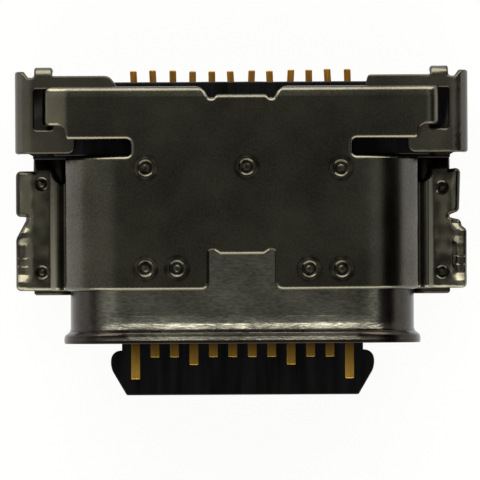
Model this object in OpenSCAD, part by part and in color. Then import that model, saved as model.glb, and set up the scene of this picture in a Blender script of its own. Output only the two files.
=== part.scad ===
// Sunk-in charging port. A contact tongue stands out of a short drawn shell, two welded covers
// clasp the shell, and a bracket holds the moulding and its solder tails down on the board.
// X runs across the mouth, +Y towards the solder tails and +Z up. The origin is the middle of
// the footprint, on the surface that the port rests on.

/* [Mouth and drawn shell] */
// Width of the mouth
mouth_w = 8.34; // [8:0.02:8.8]
// Height of the mouth, which has fully round ends
mouth_h = 2.56; // [2.4:0.02:2.8]
// Wall of the drawn shell
shell_t = 0.2; // [0.15:0.01:0.25]
// Length of the shell behind the face of its lip
shell_len = 4.72; // [4.4:0.02:4.78]
// How far the lip stands out from the shell
lip_out = 0.22; // [0.18:0.01:0.4]
// Thickness of the lip, which has a round rim
lip_t = 0.28; // [0.2:0.01:0.34]
// Length of the flare from the shell up to the lip
flare_len = 0.3; // [0.15:0.01:0.5]
// Radius of the mouth's inner edge
mouth_round = 0.12; // [0.05:0.01:0.18]

/* [Tongue] */
// Thickness of the tongue
tongue_t = 0.7; // [0.66:0.01:0.74]
// Width of the tongue at its head and its root
tongue_w = 6.72; // [6.6:0.02:6.8]
// Width between the two latch notches
neck_w = 6.2; // [6.1:0.02:6.3]
// Width of the tongue's tip
tip_w = 5.96; // [5.8:0.02:6.1]
// How far the tip stands out past the lip
tongue_out = 1.33; // [1:0.01:1.6]
// Length of the tongue, from its tip to the wall behind the mouth
tongue_len = 4.6; // [4.4:0.05:4.9]
// Distance from the tip to the widest place of the head
head_len = 0.89; // [0.8:0.01:1]
// Radius of the head's sides
head_r = 0.8; // [0.5:0.05:0.85]
// Bevel of the tip's upper and lower edges
tip_bevel = 0.1; // [0.05:0.01:0.15]
// Distance from the tip to the rear end of the latch notches
notch_end = 2.5; // [2:0.05:3]
// Length of the thick root
root_len = 0.9; // [0.6:0.05:1.2]
// Thickness of the root
root_t = 1; // [0.9:0.02:1.2]

/* [Covers] */
// Thickness of the covers' sheet
cover_t = 0.15; // [0.12:0.01:0.18]
// Distance from the lip's face to the front edge of the top cover
cover_front = 1.36; // [1.1:0.02:1.5]
// Length of the crown, from the front edge to the slots
cover_len = 3.46; // [3.4:0.02:3.8]
// How far the bottom cover reaches past the front edge of the top one
lower_reach = 0.11; // [0.05:0.01:0.2]
// Radius of the bend from the crown down to the wings
wing_bend_r = 0.42; // [0.36:0.01:0.46]
// Flat width of a wing
wing_flat = 0.41; // [0.35:0.01:0.6]
// Width of the front notch
notch_w = 1.68; // [1.2:0.02:2]
// Depth of the front notch
notch_len = 0.95; // [0.6:0.02:1.2]
// Radius of the front notch's outer corners
notch_r = 0.2; // [0.1:0.02:0.3]
// Size of the corner reliefs at the back of the front notch
notch_relief = 0.12; // [0.06:0.01:0.16]
// Radius of a weld's rim on the crown
weld_r = 0.245; // [0.2:0.005:0.26]
// Radius of a weld's rim on the wings
wing_weld_r = 0.2; // [0.15:0.005:0.2]
// Depth of the moat in a weld
weld_depth = 0.04; // [0.02:0.005:0.06]
// Distance of the outer welds from the middle
weld_x = 2.5; // [2:0.02:2.6]
// Distance between the two welds of a front pair
weld_pair = 0.8; // [0.6:0.02:1]
// Offset of the middle rear weld
weld_mid_x = 0.1; // [-0.2:0.02:0.2]
// Distance from the crown's front edge to the front welds
weld_front = 0.59; // [0.4:0.01:0.8]
// Distance from the slots to the rear welds
weld_rear = 0.31; // [0.28:0.01:0.5]
// Distance from the front edge to the front welds of the wings
wing_weld_front = 0.48; // [0.3:0.01:0.7]
// Distance from the slots to the rear welds of the wings
wing_weld_rear = 0.75; // [0.7:0.01:1]
// Width of the relief at the rear end of the bend between crown and wing
relief_w = 0.5; // [0.3:0.02:0.56]
// Length of that relief
relief_len = 0.62; // [0.4:0.02:0.7]

/* [Solder tabs] */
// How far the tabs stand out from the wings
tab_out = 0.46; // [0.3:0.01:0.6]
// Length of the plain tab
tab_len = 1.18; // [0.9:0.02:1.3]
// Distance from the crown's rear edge to the plain tab
tab_back = 0.37; // [0.25:0.01:0.5]
// Radius of the plain tab's rear corner
tab_r = 0.13; // [0.05:0.01:0.25]
// Length of the dished tab along its outer edge
dish_len = 1.4; // [1.3:0.02:1.5]
// Depth of the dish
dish_depth = 0.1; // [0.04:0.01:0.12]
// Length of the dish's two slopes
dish_slope = 0.25; // [0.15:0.01:0.3]
// Length of the level edge before the dish
dish_edge = 0.16; // [0.1:0.01:0.2]

/* [Strap] */
// Width of the side slots between crown and strap
slot_w = 0.46; // [0.4:0.01:0.55]
// Distance between the slots' round ends
slot_span = 5.68; // [5:0.02:5.7]
// Length of the strap along the port
strap_len = 1.32; // [1.26:0.02:1.5]
// How far the strap's ends stand out past the crown's sides
strap_over = 0.58; // [0.5:0.02:0.7]
// Outer radius of the bends at the strap's ends
strap_bend_r = 0.42; // [0.3:0.01:0.45]
// Outer radius of the bend at the strap's rear edge
rear_bend_r = 0.28; // [0.22:0.01:0.3]
// Distance from the strap's front edge to its bent ends
end_step = 0.35; // [0.3:0.01:0.45]
// Width of the flat place in the strap's rear edge
flat_edge_w = 1.74; // [1.4:0.02:2]
// How far the flat place stays back from the rear edge
flat_edge_back = 0.2; // [0.12:0.01:0.26]

/* [Rear bracket] */
// Thickness of the bracket's sheet
bracket_t = 0.15; // [0.12:0.01:0.18]
// Distance from the crown's rear edge to the bracket
bracket_set = 0.06; // [0.04:0.01:0.15]
// Gap in the window beside the strap's end
window_gap = 0.2; // [0.12:0.01:0.3]
// Outer radius of the bracket's side bends
side_bend_r = 0.5; // [0.3:0.01:0.55]
// Length of the bracket's front tabs
front_tab_len = 0.62; // [0.5:0.02:0.66]
// Reach of the front tabs inside the window
front_tab_reach = 0.58; // [0.3:0.02:0.8]
// Radius of the front tabs' inner corners
front_tab_r = 0.2; // [0.1:0.01:0.25]
// Distance between the inner ends of the rear plates
rear_plate_span = 6.34; // [6:0.02:7]
// How far the strap's rear edge laps over the rear plates
plate_lap = 0.06; // [0.04:0.01:0.15]
// How far the rear plates stand out behind the strap
rear_plate_out = 0.29; // [0.2:0.01:0.4]
// How far the rear legs stand out behind the rear plates
leg_out = 0.21; // [0.18:0.01:0.3]
// Outer radius of the rear legs' bend
leg_bend_r = 0.25; // [0.2:0.01:0.3]
// Width of the stakes, which reach as low as the lip
stake_w = 0.7; // [0.5:0.05:1]

/* [Moulding] */
// How far the moulding stands out behind the strap
block_out = 0.12; // [0.06:0.01:0.2]
// Height of the moulding's shoulders above the tongue's middle
shoulder_z = 0.45; // [0.2:0.05:0.6]
// Depth of the recess over the second row of tails
recess_h = 0.27; // [0.2:0.01:0.3]

/* [Contacts and plates] */
// Distance from contact to contact
pitch = 0.5; // [0.48:0.01:0.52]
// Width of a contact on the tongue
contact_w = 0.24; // [0.2:0.005:0.28]
// Width of a solder tail
tail_w = 0.175; // [0.15:0.005:0.24]
// Thickness of a contact
contact_t = 0.15; // [0.12:0.01:0.18]
// Inner radius of a contact's bends
contact_bend_r = 0.1; // [0.05:0.01:0.12]
// Distance from the tongue's tip to the long contacts at both ends
long_set = 0.41; // [0.3:0.01:0.6]
// Distance from the tongue's tip to the two middle-length contacts
middle_set = 0.77; // [0.6:0.01:0.9]
// Distance from the tongue's tip to the other contacts
short_set = 0.97; // [0.8:0.01:1.2]
// Length of an upper tail inside the moulding
tail_hold = 0.32; // [0.2:0.01:0.4]
// Distance from the front of the moulding's block to the drop of the lower row
lower_set = 0.12; // [0.08:0.01:0.2]
// How far the upper row's tails stand out behind the moulding
tail_out = 0.3; // [0.2:0.01:0.36]
// Length of the lower row's tails on the board
lower_tail_len = 0.55; // [0.4:0.01:0.6]
// Thickness of the plate between the two rows
plate_t = 0.15; // [0.1:0.01:0.2]
// Distance from the tongue's tip to the plate
plate_set = 0.4; // [0.35:0.01:0.6]
// Thickness of the ground plates
ground_t = 0.1; // [0.08:0.01:0.12]
// Height of the ground plates' lips against the wall
ground_lip = 0.4; // [0.2:0.02:0.5]

/* [Hidden] */
$fn = 48;

// Contacts in a row
pins = 12;
// Gap where two pieces are pressed or welded together
seat_gap = 0.01;
// Gap where a piece slips into another
slip_gap = 0.03;
// Gap between the strap's ends and the inner edges of the bracket's windows
window_clear = 0.12;
// Overlap of a cut past the face that it opens
past = 1;
// Middle of a weld's moat and half its width, as shares of the rim's radius
moat_at = 0.66;
moat_half = 0.3;
// Share of a contact's drop that one bend may take
bend_share = 0.45;

// Heights, from the middle of the tongue
shell_r = mouth_h / 2 + shell_t;
crown_in_r = shell_r + seat_gap;
crown_r = crown_in_r + cover_t;
wing_z = -wing_bend_r;
seam_z = wing_z - cover_t;
board_z = seam_z - cover_t;
strap_lip_z = crown_r - rear_bend_r;
bracket_z = strap_lip_z - seat_gap;
block_z = bracket_z - bracket_t;
strap_end_z = shoulder_z + slip_gap;
rest_z = -max(shell_r + lip_out, crown_r);

// Places across the port, from its middle
end_x = (mouth_w - mouth_h) / 2;
crown_x = end_x + crown_r;
wing_x0 = crown_x + wing_bend_r;
wing_x = wing_x0 + wing_flat;
tab_x = wing_x + tab_out;
slot_x = slot_span / 2;
strap_x = crown_x + strap_over;
side_x0 = strap_x + window_gap;
side_x = side_x0 + side_bend_r;
window_x = strap_x - cover_t - window_clear;
block_x = window_x - slip_gap;
shoulder_x = side_x - bracket_t - slip_gap;

// Places along the port, from the lip's face
tip_y = -tongue_out;
wall_y = tip_y + tongue_len;
slot_y = cover_front + cover_len;
strap_y = slot_y + slot_w;
strap_end_y = strap_y + strap_len;
block_y = slot_y + seat_gap;
block_end_y = strap_end_y + block_out;
bracket_y = slot_y + bracket_set;
window_y = bracket_y + front_tab_len;
window_end_y = strap_end_y - plate_lap;
bracket_end_y = strap_end_y + rear_plate_out;
side_end_y = bracket_end_y + leg_out / 2;
leg_y = bracket_end_y + leg_out;
tail_y = block_end_y + tail_out;
upper_drop_y = block_end_y - tail_hold - contact_t - 2 * contact_bend_r;
lower_drop_y = block_y + lower_set;
plate_end_y = upper_drop_y - contact_t;

// The slope at which the bottom cover leaves the shell, with exact sine and cosine
slope_cos = 0.8;
slope_sin = 0.6;
lower_bend_r = (crown_r * slope_sin + board_z) / (1 - slope_sin);

function two_digits(i) = str(i < 10 ? "0" : "", i);
function contact_names(row) = [for (i = [1:pins]) str(row, "_contact_", two_digits(i))];

// Points on an arc, from angle a to angle b
function arc(centre, r, a, b, steps = 8) =
    [for (i = [0:steps]) centre + r * [cos(a + (b - a) * i / steps), sin(a + (b - a) * i / steps)]];

// A closed outline from its right half
function mirrored(half) =
    concat(half, [for (i = [len(half) - 1:-1:0]) [-half[i].x, half[i].y]]);

// Moves a shape from the lip's face and the tongue's middle to the part's own frame
module seat() {
    translate([0, -(tip_y + leg_y) / 2, -rest_z]) children();
}

// A shape on the right and its mirror image on the left
module both() {
    children();
    mirror([1, 0, 0]) children();
}

// A box between two corners
module box(a, b) {
    translate(a) cube(b - a);
}

// A bend along Y, from angle a to angle b, measured from +X towards +Z
module bend_y(a, b, r, t, y0, y1) {
    rotate([-90, 0, 0]) rotate([0, 0, -b])
        rotate_extrude(angle = b - a) translate([r, y0]) square([t, y1 - y0]);
}

// A bend along X, from angle a to angle b, measured from +Y towards +Z
module bend_x(a, b, r, t, x0, x1) {
    rotate([90, 0, 90]) rotate([0, 0, a])
        rotate_extrude(angle = b - a) translate([r, x0]) square([t, x1 - x0]);
}

// A section in X and Z, drawn out along Y
module along_y(y0, y1) {
    translate([0, y1, 0]) rotate([90, 0, 0]) linear_extrude(y1 - y0) children();
}

// A section in Y and Z, drawn out along X
module along_x(x0, x1) {
    translate([x0, 0, 0]) rotate([90, 0, 90]) linear_extrude(x1 - x0) children();
}

// An outline in X and Y, drawn out from one height to another
module along_z(z0, z1) {
    translate([0, 0, z0]) linear_extrude(z1 - z0) children();
}

// A section in X and Z across the port, with round upper corners
module arch(w, z0, z1, r) {
    translate([-w, z0]) square([2 * w, z1 - r - z0]);
    translate([r - w, z0]) square([2 * (w - r), z1 - z0]);
    for (x = [r - w, w - r]) translate([x, z1 - r]) circle(r);
}

// A section in Y and Z along the port, with a round upper corner at its rear
module bent_end(y0, y1, z0, z1, r) {
    translate([y0, z0]) square([y1 - y0, z1 - r - z0]);
    translate([y0, z0]) square([y1 - r - y0, z1 - z0]);
    translate([y1 - r, z1 - r]) circle(r);
}

// A section, drawn as distance from the round ends' axis and Y, swept round the mouth
module round_mouth() {
    both() translate([end_x, 0, 0]) rotate([-90, 0, 0]) rotate([0, 0, -90])
        rotate_extrude(angle = 180) children();
    for (turn = [-90, 90])
        rotate([0, turn, 0]) linear_extrude(2 * end_x, center = true) children();
}

module shell_section() {
    rim_r = lip_t / 2;
    rim_out = lip_out - rim_r;
    flare_r = (pow(flare_len, 2) + pow(rim_out, 2)) / (2 * rim_out);
    difference() {
        union() {
            translate([mouth_h / 2, 0]) square([shell_t, shell_len]);
            translate([mouth_h / 2, 0]) square([shell_t + rim_out, lip_t]);
            translate([shell_r + rim_out, rim_r]) circle(rim_r);
            difference() {
                translate([shell_r, rim_r]) square([rim_out, rim_r + flare_len]);
                translate([shell_r + flare_r, lip_t + flare_len]) circle(flare_r);
            }
        }
        difference() {
            translate([mouth_h / 2 - past, -past]) square(past + mouth_round);
            translate([mouth_h / 2 + mouth_round, mouth_round]) circle(mouth_round);
            translate([mouth_h / 2 + mouth_round, -past]) square(2 * past);
            translate([mouth_h / 2 - past, mouth_round]) square(2 * past);
        }
    }
}

module front_shell() {
    color("#6b6a62") round_mouth() shell_section();
}

// The ring-shaped moat that a spot weld leaves in a face at height z
module weld(x, y, z, r) {
    half_w = moat_half * r;
    tube_r = (pow(half_w, 2) + pow(weld_depth, 2)) / (2 * weld_depth);
    translate([x, y, z + tube_r - weld_depth])
        rotate_extrude() translate([moat_at * r, 0]) circle(tube_r);
}

module welds() {
    rear_y = slot_y - weld_rear;
    wing_weld_x = (wing_x0 + wing_x) / 2;
    weld(weld_mid_x, rear_y, crown_r, weld_r);
    both() {
        weld(weld_x, rear_y, crown_r, weld_r);
        for (x = [weld_x - weld_pair, weld_x]) weld(x, cover_front + weld_front, crown_r, weld_r);
        for (y = [cover_front + wing_weld_front, slot_y - wing_weld_rear])
            weld(wing_weld_x, y, wing_z, wing_weld_r);
    }
}

// The crown that follows the shell, with the wings that lie on the bottom cover
module crown() {
    box([-end_x, cover_front, crown_in_r], [end_x, strap_y, crown_r]);
    both() {
        translate([end_x, 0, 0]) bend_y(0, 90, crown_in_r, cover_t, cover_front, strap_y);
        translate([wing_x0, 0, 0]) bend_y(180, 270, wing_bend_r, cover_t, cover_front, slot_y);
        box([wing_x0, cover_front, seam_z], [wing_x, slot_y, wing_z]);
        plain_tab();
        dished_tab();
    }
}

// The rear solder tab, which slopes down to the board
module plain_tab() {
    tab_end_y = slot_y - tab_back;
    tab_y = tab_end_y - tab_len;
    intersection() {
        along_y(tab_y, tab_end_y)
            polygon([[wing_x, wing_z], [wing_x, seam_z], [tab_x, board_z], [tab_x, seam_z]]);
        along_z(board_z - past, past)
            polygon(concat([[0, tab_y], [tab_x, tab_y]],
                arc([tab_x - tab_r, tab_end_y - tab_r], tab_r, 0, 90), [[0, tab_end_y]]));
    }
}

// The front solder tab, pressed down in its middle and cut back at its rear corner
module dished_tab() {
    dish_end_y = cover_front + dish_len;
    root_end_y = slot_y - tab_back - tab_len - slip_gap;
    low_y = cover_front + dish_edge;
    high_y = dish_end_y - dish_edge / 2;
    low_z = wing_z - dish_depth;
    top = [[root_end_y, wing_z], [high_y, wing_z], [high_y - dish_slope, low_z],
        [low_y + dish_slope, low_z], [low_y, wing_z], [cover_front, wing_z]];
    intersection() {
        along_x(wing_x, tab_x)
            polygon(concat(top, [for (i = [len(top) - 1:-1:0]) top[i] - [0, cover_t]]));
        along_z(board_z - past, past)
            polygon([[0, cover_front], [tab_x, cover_front], [tab_x, dish_end_y],
                [tab_x - tab_out / 2, root_end_y - dish_edge / 2], [wing_x, root_end_y], [0, root_end_y]]);
    }
}

// The front notch of the crown, with rounded outer corners and small reliefs at the back
module front_notch() {
    w = notch_w / 2;
    y0 = cover_front;
    y1 = cover_front + notch_len;
    along_z(0, crown_r + past)
        polygon(mirrored(concat([[w + notch_r, y0 - past]],
            arc([w + notch_r, y0 + notch_r], notch_r, 270, 180),
            [[w, y1], [w - notch_relief, y1 + notch_relief], [w - 2 * notch_relief, y1]])));
}

// The slots between crown and strap, open to the sides
module slots() {
    both() {
        translate([slot_x + slot_w / 2, slot_y + slot_w / 2, 0]) cylinder(d = slot_w, h = crown_r + past);
        box([slot_x + slot_w / 2, slot_y, -past], [side_x, strap_y + past, crown_r + past]);
    }
}

// The relief at the rear end of the bend between crown and wing
module wing_relief() {
    r = relief_w / 2;
    y = slot_y - relief_len + r;
    both() {
        translate([crown_x + r, y, board_z]) cylinder(r = r, h = -board_z);
        box([crown_x, y, board_z], [crown_x + relief_w, slot_y + past, 0]);
    }
}

// The solid inside the strap's skin, which is inset from the strap's outer faces
module strap_body(inset, y0, z0) {
    w = strap_x - inset;
    y1 = strap_end_y - inset;
    z1 = crown_r - inset;
    intersection() {
        along_y(y0, y1) arch(w, z0, z1, strap_bend_r - inset);
        along_x(-w, w) bent_end(y0, y1, z0, z1, rear_bend_r - inset);
    }
}

// The strap over the rear block, with its ends and its rear edge bent down
module strap() {
    wall_y0 = strap_y + end_step;
    wall_y1 = strap_end_y - rear_bend_r - slip_gap;
    corner_x = crown_x + slip_gap;
    corner_r = end_step - slip_gap;
    w = flat_edge_w / 2;
    edge_y = strap_end_y - flat_edge_back;
    difference() {
        intersection() {
            difference() {
                strap_body(0, strap_y, strap_end_z);
                strap_body(cover_t, strap_y - past, strap_end_z - past);
            }
            union() {
                box([-strap_x, strap_y, strap_lip_z], [strap_x, strap_end_y, crown_r]);
                both() box([window_x, wall_y0, strap_end_z], [strap_x, wall_y1, crown_r]);
            }
        }
        both() along_z(0, crown_r + past)
            polygon(concat([[corner_x, strap_y - past]],
                arc([corner_x + corner_r, wall_y0 - corner_r], corner_r, 180, 90),
                [[strap_x + past, wall_y0], [strap_x + past, strap_y - past]]));
        along_z(0, crown_r + past)
            polygon(mirrored(concat([[w + flat_edge_back, strap_end_y + past], [w + flat_edge_back, strap_end_y]],
                arc([w - flat_edge_back / 2, edge_y], flat_edge_back / 2, 0, -180),
                [[w - flat_edge_back, edge_y]])));
    }
}

module top_cover() {
    color("#4a4942") difference() {
        union() {
            difference() {
                crown();
                slots();
                front_notch();
                wing_relief();
            }
            strap();
        }
        welds();
    }
}

module bottom_cover() {
    y0 = cover_front - lower_reach;
    slope = acos(slope_cos);
    bend_c = [end_x + (crown_r + lower_bend_r) * slope_cos, 0, -(crown_r + lower_bend_r) * slope_sin];
    color("#4f4e47") {
        box([-end_x, y0, -crown_r], [end_x, slot_y, -crown_in_r]);
        both() {
            translate([end_x, 0, 0]) bend_y(-90, -slope, crown_in_r, cover_t, y0, slot_y);
            translate(bend_c) bend_y(90, 180 - slope, lower_bend_r, cover_t, y0, slot_y);
            box([bend_c.x, y0, board_z], [wing_x, slot_y, seam_z]);
        }
    }
}

// The bracket's outline from above, with its two windows
module bracket_outline() {
    tab_x0 = window_x - front_tab_reach;
    web_y0 = strap_y + slip_gap;
    web_y1 = strap_end_y - rear_bend_r;
    plate_x = rear_plate_span / 2;
    difference() {
        polygon(mirrored(concat([[tab_x0, web_y0]],
            arc([tab_x0 + front_tab_r, bracket_y + front_tab_r], front_tab_r, 180, 270),
            [[side_x, bracket_y], [side_x, side_end_y], [side_x0, side_end_y], [side_x0, bracket_end_y],
             [plate_x + rear_plate_out, bracket_end_y], [plate_x, strap_end_y], [plate_x, web_y1]])));
        for (x = [window_x, -side_x0])
            translate([x, window_y]) square([side_x0 - window_x, window_end_y - window_y]);
    }
}

// The bracket's plate on the moulding, with side walls bent down to the board
module bracket_sheet() {
    intersection() {
        along_y(bracket_y, side_end_y) difference() {
            arch(side_x, board_z, bracket_z, side_bend_r);
            arch(side_x - bracket_t, board_z - past, block_z, side_bend_r - bracket_t);
        }
        along_z(board_z - past, bracket_z + past) bracket_outline();
    }
}

// A stake under a side wall
module bracket_stake() {
    y = (bracket_y + side_end_y) / 2;
    tip = stake_w / 4;
    along_x(side_x - bracket_t, side_x)
        polygon([[y - stake_w / 2, board_z + tip], [y - stake_w / 2, rest_z + tip], [y - tip, rest_z],
            [y + tip, rest_z], [y + stake_w / 2, rest_z + tip], [y + stake_w / 2, board_z + tip]]);
}

// A rear leg of the bracket, bent down behind the moulding
module bracket_leg() {
    y0 = bracket_end_y - leg_bend_r;
    along_x(window_x, side_x0) difference() {
        bent_end(y0, leg_y, board_z, bracket_z, leg_bend_r);
        bent_end(y0 - past, leg_y - bracket_t, board_z - past, block_z, leg_bend_r - bracket_t);
    }
}

module rear_bracket() {
    relief_r = leg_out / 2;
    color("#55534b") difference() {
        union() {
            bracket_sheet();
            both() {
                bracket_stake();
                bracket_leg();
            }
        }
        both() translate([side_x0 + relief_r, bracket_end_y + relief_r / 2, bracket_z - side_bend_r / 2])
            cylinder(r = relief_r, h = side_bend_r);
    }
}

// The tongue's outline, with a round head, two latch notches and a wide root
module tongue_outline() {
    head_y = tip_y + head_len;
    corner_r = (tongue_w - neck_w) / 2;
    side_c = [tongue_w / 2 - head_r, head_y];
    to_tip = [tip_w / 2, tip_y] - side_c;
    taper = atan2(to_tip.y, to_tip.x) + acos(head_r / norm(to_tip));
    polygon(mirrored(concat([[tip_w / 2, tip_y]], arc(side_c, head_r, taper, 0),
        arc([neck_w / 2, head_y], corner_r, 0, 90),
        [[neck_w / 2, tip_y + notch_end], [tongue_w / 2, tip_y + notch_end + corner_r],
         [tongue_w / 2, wall_y + slip_gap]])));
}

module tongue() {
    half_t = tongue_t / 2;
    intersection() {
        along_z(-half_t, half_t) tongue_outline();
        along_x(-tongue_w, tongue_w)
            polygon([[tip_y, tip_bevel - half_t], [tip_y, half_t - tip_bevel],
                [tip_y + 2 * tip_bevel, half_t], [wall_y + past, half_t],
                [wall_y + past, -half_t], [tip_y + 2 * tip_bevel, -half_t]]);
    }
    box([-tongue_w / 2, wall_y - root_len, -root_t / 2], [tongue_w / 2, wall_y + slip_gap, root_t / 2]);
}

// The plug that closes the shell behind the mouth
module shell_plug() {
    r = mouth_h / 2 - slip_gap;
    along_y(wall_y, block_y + slip_gap) {
        translate([-end_x, -r]) square([2 * end_x, 2 * r]);
        for (x = [-end_x, end_x]) translate([x, 0]) circle(r);
    }
}

// The block behind the shell, with shoulders inside the bracket's side walls
module rear_block() {
    box([-block_x, block_y, board_z], [block_x, block_end_y, block_z]);
    box([-shoulder_x, block_y, board_z], [shoulder_x, block_end_y, shoulder_z]);
}

module insulator() {
    row_w = (pins - 1) * pitch + 2 * contact_w;
    recess_y = lower_drop_y + 2 * contact_bend_r + contact_t;
    recess_end_y = recess_y + lower_tail_len + contact_bend_r;
    color("#141416") difference() {
        union() {
            tongue();
            shell_plug();
            rear_block();
        }
        box([-row_w / 2, recess_y, board_z - past], [row_w / 2, recess_end_y, board_z + recess_h]);
        mid_plate_shape();
        for (i = [0:pins - 1]) {
            upper_contact_shape(i);
            lower_contact_shape(i);
        }
    }
}

module mid_plate_shape() {
    box([-neck_w / 2, tip_y + plate_set, -plate_t / 2], [neck_w / 2, plate_end_y, plate_t / 2]);
}

module mid_plate() {
    color("#8a8983") mid_plate_shape();
}

// A ground plate on the tongue's root, with a lip against the wall behind the mouth
module ground_plate() {
    z0 = root_t / 2;
    color("#8a8983") along_x(-neck_w / 2, neck_w / 2)
        polygon([[wall_y - root_len, z0], [wall_y, z0], [wall_y, z0 + ground_lip],
            [wall_y - ground_t, z0 + ground_lip], [wall_y - ground_t, z0 + ground_t],
            [wall_y - root_len, z0 + ground_t]]);
}

module upper_ground_plate() {
    ground_plate();
}

module lower_ground_plate() {
    mirror([0, 0, 1]) ground_plate();
}

// How far a contact stays back from the tongue's tip: long at the ends, middle in the fourth places
function tip_set(i) =
    let (from_end = min(i, pins - 1 - i)) from_end == 0 ? long_set : from_end == 3 ? middle_set : short_set;

// A contact that runs back in the tongue, drops to the board and turns out into its tail
module contact_shape(i, top_z, drop_y, end_y) {
    run_z = top_z - contact_t;
    r = min(contact_bend_r, bend_share * (run_z - board_z - contact_t));
    y0 = drop_y + r;
    y1 = y0 + contact_t;
    w = tail_w / 2;
    translate([(i - (pins - 1) / 2) * pitch, 0, 0]) {
        box([-contact_w / 2, tip_y + tip_set(i), run_z], [contact_w / 2, drop_y, top_z]);
        translate([0, drop_y, run_z - r]) bend_x(0, 90, r, contact_t, -w, w);
        box([-w, y0, board_z + contact_t + r], [w, y1, run_z - r]);
        translate([0, y1 + r, board_z + contact_t + r]) bend_x(180, 270, r, contact_t, -w, w);
        box([-w, y1 + r, board_z], [w, end_y, board_z + contact_t]);
    }
}

module upper_contact_shape(i) {
    contact_shape(i, tongue_t / 2, upper_drop_y, tail_y);
}

module lower_contact_shape(i) {
    end_y = lower_drop_y + 2 * contact_bend_r + contact_t + lower_tail_len;
    contact_shape(i, contact_t - tongue_t / 2, lower_drop_y, end_y);
}

module upper_contact(i) {
    color("#a07f2a") upper_contact_shape(i);
}

module lower_contact(i) {
    color("#a07f2a") lower_contact_shape(i);
}

seat() front_shell();
seat() top_cover();
seat() bottom_cover();
seat() rear_bracket();
seat() insulator();
seat() mid_plate();
seat() upper_ground_plate();
seat() lower_ground_plate();
for (i = [0:pins - 1]) {
    seat() upper_contact(i);
    seat() lower_contact(i);
}
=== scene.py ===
"""A sunk-in charging port from straight above: drawn shell, welded covers, bracket, moulding and contacts.

Every piece is modelled in millimetres, from the lip's face (Y) and the tongue's middle (Z), and is moved to
the frame at the end.
"""

import math
import random
from collections import namedtuple

import bmesh
import bpy
from mathutils import Matrix, Vector, noise


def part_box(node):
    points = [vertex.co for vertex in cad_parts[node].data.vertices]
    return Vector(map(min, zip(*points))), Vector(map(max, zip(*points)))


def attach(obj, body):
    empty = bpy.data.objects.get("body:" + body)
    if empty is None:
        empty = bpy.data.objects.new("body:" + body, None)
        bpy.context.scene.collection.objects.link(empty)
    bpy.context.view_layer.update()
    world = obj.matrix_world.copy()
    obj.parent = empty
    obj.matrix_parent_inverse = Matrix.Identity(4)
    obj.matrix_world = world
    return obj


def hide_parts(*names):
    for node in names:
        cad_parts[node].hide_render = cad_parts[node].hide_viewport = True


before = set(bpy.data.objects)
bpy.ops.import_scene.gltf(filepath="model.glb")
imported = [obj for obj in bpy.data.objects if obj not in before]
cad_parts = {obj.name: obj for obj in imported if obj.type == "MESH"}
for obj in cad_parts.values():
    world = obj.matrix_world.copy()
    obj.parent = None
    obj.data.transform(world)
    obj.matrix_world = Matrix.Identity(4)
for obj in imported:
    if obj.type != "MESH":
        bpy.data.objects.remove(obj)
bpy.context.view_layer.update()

MM = 0.001
X_AXIS = Vector((1, 0, 0))
Y_AXIS = Vector((0, 1, 0))
Z_AXIS = Vector((0, 0, 1))
QUARTER = math.pi / 2
SIDES = (-1, 1)

# The lip's face and the tongue's middle, in the frame
shell_low, shell_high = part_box("front_shell")
PORT = Vector((0, shell_low.y, (shell_low.z + shell_high.z) / 2))
TO_FRAME = Matrix.Translation(PORT) @ Matrix.Scale(MM, 4)


def box_mm(node):
    """A node's lowest and highest corner, in the port's own millimetres."""
    return [(corner - PORT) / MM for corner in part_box(node)]


# Sizes that the solids give, in millimetres
LIP_HIGH = box_mm("front_shell")[1]
TOP_LOW, TOP_HIGH = box_mm("top_cover")
LOWER_LOW, LOWER_HIGH = box_mm("bottom_cover")
BRACKET_LOW, BRACKET_HIGH = box_mm("rear_bracket")
MOULD_LOW, MOULD_HIGH = box_mm("insulator")

# How finely the pieces are rounded and bent
ROUND_STEPS = 5
EDGE_STEPS = 4
BEND_STEP = math.radians(6)
SHARP = math.radians(40)
FLAT = math.radians(0.4)
# A sheet's thickness, the radius of its cut edges, and how strongly these carry a painted highlight or
# painted shade
SHEET = 0.15
SHEET_EDGE = 0.065
RIM_HIGHLIGHT = 0.25
RIM_SHADE = 0.75
# Distances at which places count as the same, as one vertex and as on a cut
CLOSE = 0.001
MERGE = 1e-4
ON_CUT = 1e-5


# Sheet-metal and moulding tools

def trace(bm, corners):
    """Draws a closed outline in X and Y. A corner's third number, where it has one, is its radius."""
    verts = [bm.verts.new((*corner[:2], 0)) for corner in corners]
    bm.faces.new(verts)
    for vert, corner in zip(verts, corners):
        if len(corner) > 2:
            a, b = (edge.other_vert(vert).co - vert.co for edge in vert.link_edges)
            cut_back = corner[2] / math.tan(a.angle(b) / 2)
            bmesh.ops.bevel(bm, geom=[vert], offset=cut_back, offset_type="OFFSET", segments=ROUND_STEPS,
                            profile=0.5, affect="VERTICES", material=-1)


def joined(right, left):
    """A closed outline from the corners of its two halves, both given as if on the right."""
    return right + [(-corner[0], *corner[1:]) for corner in reversed(left) if corner[0] > 0]


def both_sides(half):
    """A closed outline from the corners of its right half, which starts and ends on the middle line."""
    return joined(half, half)


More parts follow.
